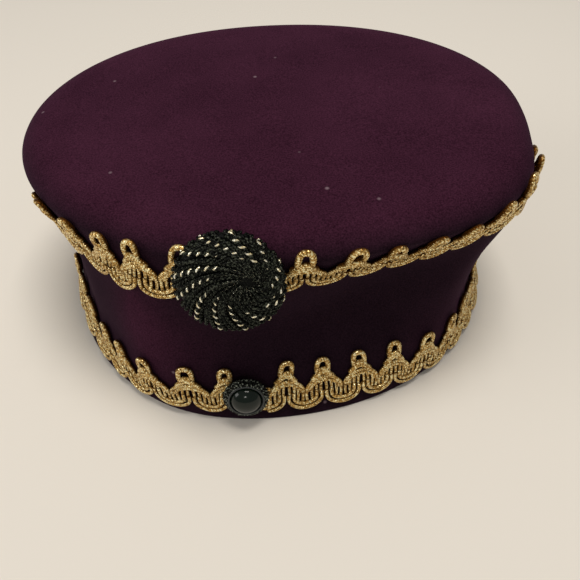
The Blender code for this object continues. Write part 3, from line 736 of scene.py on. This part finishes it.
# The cord lines of one repeat: kind, then across, rise and out in metres from the loop's middle
def repeatLines(pitch):
    half = pitch / 2
    lines = [("cup", *cupLine(half, *row)) for row in braidForm["cups"]]
    lines += [("cord", *archLine(half, *row)) for row in braidForm["arches"]]
    lines += [("rib", *ribLine(half, number)) for number in range(braidForm["ribs"])]
    lines += [("mound", *moundLine(*row)) for row in braidForm["mounds"]]
    return lines + [("loop", *loopLine())]


joinForm = {"cords": 6, "steps": 40, "overlap": 0.9, "low": 0.8, "high": 0.6, "seed": 3.0 * mm}


# The join under the ornament: straight cords between the last repeat and the first
def joinCords(path):
    form = joinForm
    reach = path["pitch"] / 2 * form["overlap"]
    start = path["middles"][-1] + reach
    end = path["distances"][-1] + path["middles"][0] - reach
    low, high = braidForm["bottom"] * form["low"], braidForm["crest"] * form["high"]
    rise = np.linspace(low, high, form["cords"])[:, None]
    across, rise = np.broadcast_arrays(np.linspace(start, end, form["steps"]), rise)
    centres, facing = placeOnBraid(path, across, rise, braidForm["cord"])
    return tubes(centres, braidForm["cord"], facing, 8, seeds=np.arange(form["cords"]) * form["seed"])


# Every line of a repeat carried to all repeats at once, each repeat a little uneven, as cords on the wall
def makeBraid(name, form, material):
    path = braidPath(form)
    scatter = braidScatter
    parts = []
    half = path["pitch"] / 2
    middles = path["middles"]
    count = len(middles)
    shift = random.normal(0, scatter["aside"], count)[:, None]
    raised = random.normal(0, scatter["raised"], count)[:, None]
    leaning = random.normal(0, scatter["leaning"], count)[:, None]
    taller = 1 + random.normal(0, scatter["taller"], count)[:, None]
    if path["pressed"]:
        angles = np.interp(middles, path["distances"], path["angles"])
        taller = taller * lineHeight(loopShares, angles)[:, None]
    for kind, across, rise, out in repeatLines(path["pitch"]):
        distance = middles[:, None] + across[None]
        high = rise[None] + raised * scatter["raisedCord"]
        if kind in ("loop", "mound"):
            above = rise[None] - braidForm["crest"]
            distance = distance + shift + leaning * above
            high = braidForm["crest"] + above * taller + raised
        if kind == "rib":
            distance = distance + random.normal(0, scatter["ribAside"], (count, 1))
        if kind == "cup":  # one cup more, cut at the join
            distance = np.concatenate([distance[:1] - path["pitch"], distance])
            distance = np.clip(distance, middles[0] - half, middles[-1] + half)
            high = np.concatenate([high[:1], high])
        centres, facing = placeOnBraid(path, distance, high, out[None])
        radius = braidForm["cord" if kind == "cup" else kind]
        radius = radius * (1 + random.normal(0, scatter["thick"], (len(distance), 1)))
        sides = 10 if kind == "loop" else 8
        seeds = random.uniform(0, scatter["seed"], len(distance))
        parts.append(tubes(centres, radius, facing, sides, seeds=seeds))
    parts.append(joinCords(path))
    points, faceSets, uvSets = joined(parts)
    return addMesh(name, points, faceSets, material, uvSets)


rosetteForm = {
    "diameter": 39.6 * mm, "angle": -98.07, "up": 0.918, "out": 4.6 * mm, "leanBack": 16.5,
    "dome": 4.2 * mm, "eyeAcross": 8.0 * mm, "eyeUp": 3.0 * mm, "swirl": 95.0, "swirlEase": 1.25,
    "back": 1.9 * mm, "droop": 0.24, "riseBack": 0.10,  # how far the rim reaches back, more below and above
    # The core: depth under the face, rings behind it (reach, share of the way back), rings of the face
    "coreDepth": 0.75 * mm, "coreBack": ((0.45, 0.3), (0.86, 0.9), (0.94, 0.8), (0.97, 0.4), (0.93, 0.2)),
    "coreFace": (0.85, 0.05, 14),
    # The cords: how many, each fourth with gold, twist and plies, then steps and sides of each ply
    "cords": 50, "goldEvery": 4, "twist": 3.1 * mm, "ply": 0.50 * mm, "plyGap": 0.36 * mm,
    "steps": 76, "sides": 7,
    "gold": 0.42 * mm, "goldOut": 0.20 * mm, "goldEnds": (0.36, 0.66), "goldFade": 12,
    # Reach of their inner ends and its spread, the share tucked under the rim, where the face starts
    "innerEnds": (0.10, 0.30), "innerScatter": 0.08, "tuck": 0.10, "tuckIn": 0.05, "faceStart": 0.06,
    # How uneven they are, how deep they lie and sink beside the eye, and how narrow they get there
    "turnScatter": 0.025, "wave": 0.03, "waves": 7, "stack": 0.22 * mm, "seed": 0.05,
    "depth": 0.15 * mm, "sink": 0.5 * mm, "sinkShare": 0.2, "narrow": 0.62,
}


# The rosette's seat: its middle and its sideways, upward and outward directions, leaning back over the edge
def rosetteSeat():
    form = rosetteForm
    angle, up = np.array(form["angle"]), np.array(form["up"])
    lean = math.radians(form["leanBack"])
    level = wallFrame(angle, up)[0] * np.array([1.0, 1.0, 0.0])
    level /= np.linalg.norm(level)
    normal = math.cos(lean) * level + math.sin(lean) * np.array([0.0, 0.0, 1.0])
    sideways = np.cross(np.array([0.0, 0.0, 1.0]), level)
    return wallPoint(angle, up) + form["out"] * normal, sideways, np.cross(normal, sideways), normal


# A place on the rosette's domed face: across and rise from its middle, depth down from half an ellipse
def onRosette(across, rise, depth):
    middle, sideways, upward, normal = rosetteSeat()
    form = rosetteForm
    across, rise, depth = np.broadcast_arrays(across, rise, depth)
    share = np.hypot(across, rise) / (form["diameter"] / 2)
    above = form["dome"] * np.sqrt(np.clip(1 - share**2, 0, 1)) - depth
    points = middle + across[..., None] * sideways + rise[..., None] * upward + above[..., None] * normal
    return points, np.broadcast_to(normal, points.shape)


# How far the rim reaches back: a little at the middle, more below where the wall draws away
def rosetteBack(rise):
    form = rosetteForm
    return form["back"] + form["droop"] * np.clip(-rise, 0, None) + form["riseBack"] * np.clip(rise, 0, None)


# Turn of the swirl at each reach: most of it near the eye, clockwise on the way in
def rosetteSpread(turn, reach):
    form = rosetteForm
    swirled = turn - math.radians(form["swirl"]) * (1 - reach) ** form["swirlEase"]
    radius = form["diameter"] / 2 * reach
    across = radius * np.cos(swirled) + form["eyeAcross"] * (1 - reach)
    rise = radius * np.sin(swirled) + form["eyeUp"] * (1 - reach)
    return across, rise


# Rings of points closed by a pole at each end, with corner coordinates that follow the row and the turn
def closedRevolve(rings):
    count, columns = rings.shape[:2]
    faces = closedRings(count, columns)
    points = np.concatenate([rings.reshape(-1, 3), rings[:1].mean(1), rings[-1:].mean(1)])
    uv = np.stack([faces // columns * 0.5 * mm, faces % columns / 8.0], -1)
    return points, [faces, poleCaps(count, columns)], [uv, np.zeros((2 * columns, 3, 2))]


# The soft core under the cords: rings from the back's middle, round the rim and over the face to the eye
def rosetteCore():
    form = rosetteForm
    columns = 72
    turn = np.arange(columns) * 2 * math.pi / columns
    rows = []
    for reach, share in (*form["coreBack"], *((reach, 0.0) for reach in np.linspace(*form["coreFace"]))):
        across, rise = rosetteSpread(turn, reach)
        rows.append(onRosette(across, rise, form["coreDepth"] + share * rosetteBack(rise))[0])
    return closedRevolve(np.stack(rows))


# Plies wound round cord paths: each ply's centre circles its path once in each twist
def twisted(centres, facing, plyGap, plyRadius, phase, seeds):
    side, above = acrossPath(centres, facing)
    turn = 2 * math.pi * lengthAlong(centres) / rosetteForm["twist"] + phase[:, None]
    offset = np.cos(turn)[..., None] * side + np.sin(turn)[..., None] * above
    return tubes(centres + plyGap[..., None] * offset, plyRadius, facing, rosetteForm["sides"], seeds=seeds)


# Cords that turn under at the rim, cross the face in a clockwise swirl and sink beside the eye
def rosetteCords():
    form = rosetteForm
    count = form["cords"]
    turn = np.arange(count) * 2 * math.pi / count + random.normal(0, form["turnScatter"], count)
    share = np.linspace(0, 1, form["steps"])[None]
    inner = np.where(np.arange(count) % 2 == 0, *form["innerEnds"])[:, None]
    inner = inner + random.uniform(0, form["innerScatter"], (count, 1))
    under = np.clip(1 - share / form["tuck"], 0, 1)
    inward = np.clip((share - form["faceStart"]) / (1 - form["faceStart"]), 0, 1) ** 0.95
    reach = 1.0 - (1.0 - inner) * inward - form["tuckIn"] * under**2
    wave = form["wave"] * np.sin(share * form["waves"] + random.uniform(0, 6.3, (count, 1)))
    across, rise = rosetteSpread(turn[:, None] + wave, reach)
    stack = random.normal(0, form["stack"], (count, 1)) * np.clip(share * 4, 0, 1)
    sink = form["sink"] * np.clip(1 - (1 - share) / form["sinkShare"], 0, 1) ** 2
    depth = form["depth"] + stack + sink + under**1.5 * rosetteBack(rise)
    centres, facing = onRosette(across, rise, depth)
    narrow = form["narrow"] + (1 - form["narrow"]) * np.clip(reach * 1.25, 0, 1)
    phase = random.uniform(0, 2 * math.pi, count)
    isGold = np.arange(count) % form["goldEvery"] == 0
    seeds = random.uniform(0, form["seed"], count)
    gap, radius = form["plyGap"] * narrow, form["ply"] * narrow
    plies = [twisted(centres, facing, gap, radius, phase + half, seeds) for half in (0.0, math.pi)]
    fade = reach[isGold] - random.uniform(*form["goldEnds"], (isGold.sum(), 1))
    shown = np.clip(fade * form["goldFade"], 0, 1)
    goldGap = (form["plyGap"] + form["goldOut"]) * narrow[isGold] * shown
    gold = twisted(centres[isGold], facing[isGold], goldGap, form["gold"] * narrow[isGold],
                   phase[isGold] + math.pi / 2, seeds[isGold])
    return plies, gold


# The rosette's two meshes: the black cords on their core, and the gold threads that show as dashes
def makeRosette(black, paleGold):
    plies, gold = rosetteCords()
    points, faceSets, uvSets = joined([rosetteCore(), *plies])
    cords = addMesh("rosetteCords", points, faceSets, black, uvSets)
    threads = addMesh("rosetteGold", gold[0], gold[1], paleGold, gold[2])
    return cords, threads


buttonForm = {
    "angle": -97.4, "up": 0.182, "seatOut": 2.85 * mm, "across": 19.6 * mm, "floor": 1.2 * mm,
    "stone": 13.0 * mm, "stoneRise": 4.4 * mm, "height": 4.0 * mm, "girdle": 1.0 * mm, "chamfer": 0.3 * mm,
    "gap": 0.3 * mm, "ring": 0.45 * mm, "ringHeight": 3.75 * mm, "eye": 0.001 * mm,
    "collarHeight": 3.2 * mm, "lipWide": 0.5 * mm, "lipRise": 0.2 * mm,
    "columns": 72, "ringColumns": 96, "ropeSteps": 384,
    # The collar's outside: in from the outer radius and height, in millimetres
    "collarSide": ((1.6, 0.0), (1.1, 1.2), (1.5, 2.8)),
    # The collar's ropes: in from the outer radius, height, gap, strand radius in millimetres, turns
    "ropes": ((1.35, 1.35, 0.62, 0.60, 19), (2.00, 2.85, 0.60, 0.56, -19)), "strands": 2,
}


# The button's seat: its middle and its sideways, upward and outward directions, clear of the wall's bow
def buttonSeat():
    form = buttonForm
    angle, up = np.array(form["angle"]), np.array(form["up"])
    normal = wallFrame(angle, up)[0]
    middle = wallPoint(angle, up)
    reach = form["across"] / 2
    turns = np.linspace(0.0, 2 * math.pi, 24)
    degree = np.linalg.norm(wallPoint(angle + 1.0, up) - middle)
    ups = up + reach * np.sin(turns) / hatForm["edgeHeight"]
    around = wallPoint(angle + reach * np.cos(turns) / degree, ups)
    bow = max(0.0, float(np.max((around - middle) @ normal)))
    upward = np.array([0.0, 0.0, 1.0]) - normal[2] * normal
    upward /= np.linalg.norm(upward)
    middle = middle + (form["seatOut"] + bow) * normal
    return middle, np.cross(upward, normal), upward, normal


# Rings of a turned piece: each (radius, height) row carried round the seat's outward direction
def turnedRings(profile, seat, columns):
    middle, sideways, upward, normal = seat
    rows = np.array(profile)
    turns = np.arange(columns) * 2 * math.pi / columns
    flat = np.cos(turns)[:, None] * sideways + np.sin(turns)[:, None] * upward
    return middle + rows[:, 0, None, None] * flat + rows[:, 1, None, None] * normal


# Rows of (radius, height) round an arc, angles in degrees from the outward radius
def arcRows(radius, height, wide, tall, start, end, count):
    angle = np.radians(np.linspace(start, end, count))
    return list(zip(radius + wide * np.cos(angle), height + tall * np.sin(angle)))


# A twisted rope laid in a ring: strands whose middles wind round a circle
def ropeRing(seat, radius, height, gap, strand, turns):
    middle, sideways, upward, normal = seat
    strands = buttonForm["strands"]
    around = np.arange(buttonForm["ropeSteps"]) * 2 * math.pi / buttonForm["ropeSteps"]
    outward = np.cos(around)[:, None] * sideways + np.sin(around)[:, None] * upward
    wind = turns * around + np.arange(strands)[:, None] * 2 * math.pi / strands
    across, above = radius + gap * np.cos(wind), height + gap * np.sin(wind)
    paths = middle + across[..., None] * outward + above[..., None] * normal
    return tubes(paths, strand, np.broadcast_to(normal, paths.shape), 8, closed=True)


# The braided collar: a turned core that leaves room for the stone, and ropes laid round its outside
def makeCollar(seat, material):
    form = buttonForm
    outer = form["across"] / 2
    inside = form["stone"] / 2 + form["gap"]
    profile = [(form["eye"], 0.0)]
    profile += [(outer - inward * mm, height * mm) for inward, height in form["collarSide"]]
    profile += [(inside + form["lipWide"], form["collarHeight"] + form["lipRise"])]
    profile += [(inside, form["collarHeight"]), (inside, form["floor"]), (form["eye"], form["floor"])]
    core = closedRevolve(turnedRings(profile, seat, form["columns"]))
    ropes = [ropeRing(seat, outer - inward * mm, height * mm, gap * mm, strand * mm, turns)
             for inward, height, gap, strand, turns in form["ropes"]]
    points, faceSets, uvSets = joined([core, *ropes])
    return addMesh("buttonCollar", points, faceSets, material, uvSets)


# The smooth ring that holds the stone: a small circle carried round the seat, closed on itself
def makeRing(seat, material):
    form = buttonForm
    columns = form["ringColumns"]
    radius = form["stone"] / 2 + form["gap"] + form["ring"]
    rows = arcRows(radius, form["ringHeight"], form["ring"], form["ring"], -90, 270, 17)[:-1]
    faces = closedRings(len(rows) + 1, columns) % (len(rows) * columns)
    return addMesh("buttonRing", turnedRings(rows, seat, columns), [faces], material)


# The stone: a flat underside, a short straight girdle and a quarter of an ellipse over the top
def makeStone(seat, material):
    form = buttonForm
    radius = form["stone"] / 2
    floor = form["floor"] + form["gap"]
    girdle = form["height"] - form["girdle"]
    profile = [(form["eye"], floor), (radius * 0.94, floor), (radius, floor + form["chamfer"])]
    profile += [(radius, girdle)]
    profile += arcRows(0.0, girdle, radius, form["stoneRise"], 4, 89.9, 24)
    points, faceSets, _ = closedRevolve(turnedRings(profile, seat, form["columns"]))
    return addMesh("buttonStone", points, faceSets, material)


stageLook = {
    "floor": (0.80, 0.755, 0.69, 1), "floorRoughness": 0.8, "floorHalf": 3.0,
    "world": (0.95, 0.93, 0.90, 1), "worldStrength": 0.28, "aim": (0, 0, 0.05),
    # Each soft light: name, place, size, power, colour
    "lights": (("keySoft", (0.14, 0.02, 1.3), (0.5, 0.45), 10.3, (1.0, 0.955, 0.88)),
               ("fillSoft", (-1.1, -0.25, 0.6), (0.6, 0.5), 3.6, (1.0, 0.97, 0.93)),
               ("frontSoft", (-0.05, -1.15, 0.85), (0.20, 0.20), 1.3, (1.0, 0.95, 0.88))),
}


# One square of plain floor round the origin
def makeFloor():
    material, tree, shader = newMaterial("paleFloor")
    shader.inputs["Base Color"].default_value = stageLook["floor"]
    shader.inputs["Roughness"].default_value = stageLook["floorRoughness"]
    half = stageLook["floorHalf"]
    points = [(-half, -half, 0), (half, -half, 0), (half, half, 0), (-half, half, 0)]
    return addMesh("floor", points, [np.array([[0, 1, 2, 3]])], material)


# An object in the scene at a place, its own axes turned to the three directions
def addPlaced(name, data, sideways, above, back, place):
    made = bpy.data.objects.new(name, data)
    bpy.context.scene.collection.objects.link(made)
    rows = [[sideways[i], above[i], back[i], place[i]] for i in range(3)] + [[0, 0, 0, 1]]
    made.matrix_world = Matrix(rows)
    return made


# A soft area light at a place, turned so that its back points away from the aim
def makeLight(name, place, size, power, colour):
    data = bpy.data.lights.new(name, "AREA")
    data.shape = "RECTANGLE"
    data.size, data.size_y = size
    data.energy = power
    data.color = colour
    back = np.array(place, float) - np.array(stageLook["aim"], float)
    back /= np.linalg.norm(back)
    side = np.cross([0.0, 1.0, 0.0] if abs(back[2]) > 0.9 else [0.0, 0.0, 1.0], back)
    side /= np.linalg.norm(side)
    return addPlaced(name, data, side, np.cross(back, side), back, place)


cameraLook = {
    "place": (2.336 * mm, -224.658 * mm, 234.494 * mm), "yaw": 0.015543, "down": 0.856471, "roll": 0.012165,
    "lens": 37.05, "sensor": 36.0, "shiftY": 0.37 / 580, "near": 0.01, "far": 20.0,
}


# Looks along yaw and down; the roll turns the picture's axes about the view
def makeCamera():
    look = cameraLook
    data = bpy.data.cameras.new("camera")
    data.lens, data.sensor_width, data.shift_y = look["lens"], look["sensor"], look["shiftY"]
    data.clip_start, data.clip_end = look["near"], look["far"]
    yaw, down, roll = look["yaw"], look["down"], look["roll"]
    ahead = np.array([math.sin(yaw) * math.cos(down), math.cos(yaw) * math.cos(down), -math.sin(down)])
    level = np.array([math.cos(yaw), -math.sin(yaw), 0.0])
    steep = np.cross(ahead, level)
    right = math.cos(roll) * level + math.sin(roll) * steep
    below = math.cos(roll) * steep - math.sin(roll) * level
    bpy.context.scene.camera = addPlaced("camera", data, right, -below, -ahead, look["place"])


# An even pale light from all round
def makeWorld():
    world = bpy.data.worlds.new("studio")
    world.use_nodes = True
    background = world.node_tree.nodes["Background"]
    background.inputs["Color"].default_value = stageLook["world"]
    background.inputs["Strength"].default_value = stageLook["worldStrength"]
    bpy.context.scene.world = world


# Every piece in turn, each tied to the hat's one body, with the CAD nodes that the pieces stand for hidden
def build():
    gold, paleGold = threadMaterial("goldBraid", goldLook), threadMaterial("paleGoldThread", paleGoldLook)
    black, collarBlack = threadMaterial("blackThread", blackLook), threadMaterial("blackCollar", collarLook)
    crown = makeCrown(feltMaterial())
    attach(crown, "root")
    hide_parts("crown")
    print("crown felt made")
    upper = makeBraid("upperBraid", upperForm, gold)
    lower = makeBraid("lowerBraid", lowerForm, gold)
    for braid, cadNode in ((upper, "upper_braid"), (lower, "lower_braid")):
        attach(braid, "root")
        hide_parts(cadNode)
    print("braids made")
    seat = buttonSeat()
    cords, threads = makeRosette(black, paleGold)
    collar = makeCollar(seat, collarBlack)
    ring = makeRing(seat, ringMaterial())
    stone = makeStone(seat, stoneMaterial())
    for piece, slotName in ((cords, "black_cord"), (threads, "gold_braid"), (collar, "black_bezel"),
                            (ring, "black_bezel"), (stone, "dark_stone")):
        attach(piece, "root")
    for piece, cadNode in ((cords, "rosette"), (collar, "button_bezel"), (stone, "button_stone")):
        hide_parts(cadNode)
    print("rosette and button made")
    makeFloor()
    for light in stageLook["lights"]:
        makeLight(*light)
    makeWorld()
    makeCamera()
    bpy.context.scene.view_settings.view_transform = "Standard"
    print("stage made")


build()
